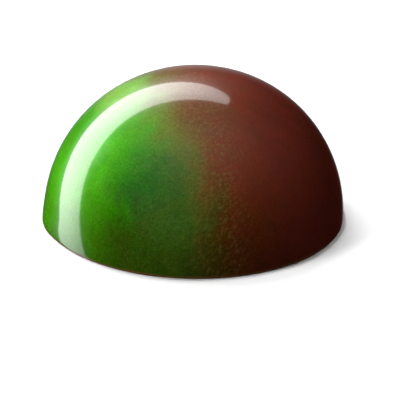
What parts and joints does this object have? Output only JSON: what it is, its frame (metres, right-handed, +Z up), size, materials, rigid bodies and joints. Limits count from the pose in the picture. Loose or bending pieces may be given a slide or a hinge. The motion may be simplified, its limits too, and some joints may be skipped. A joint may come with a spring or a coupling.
{
  "type": "half-ball chocolate praline",
  "caption": "Moulded half-ball chocolate praline with a flat base and a high gloss, sprayed green on one side and bare dark chocolate on the other.",
  "frame": {"origin": "centre of the flat base", "axes": "+Z up through the crown; the sprayed green side faces -X and the bare dark chocolate side faces +X"},
  "size_m": [0.03, 0.03, 0.015],
  "materials": {
    "praline_shell": "high gloss from a polished mould; green coloured cocoa butter sprayed on one side, fading through olive into bare dark chocolate"
  },
  "bodies": {
    "root": {"half_ball": "praline_shell"}
  },
  "joints": []
}
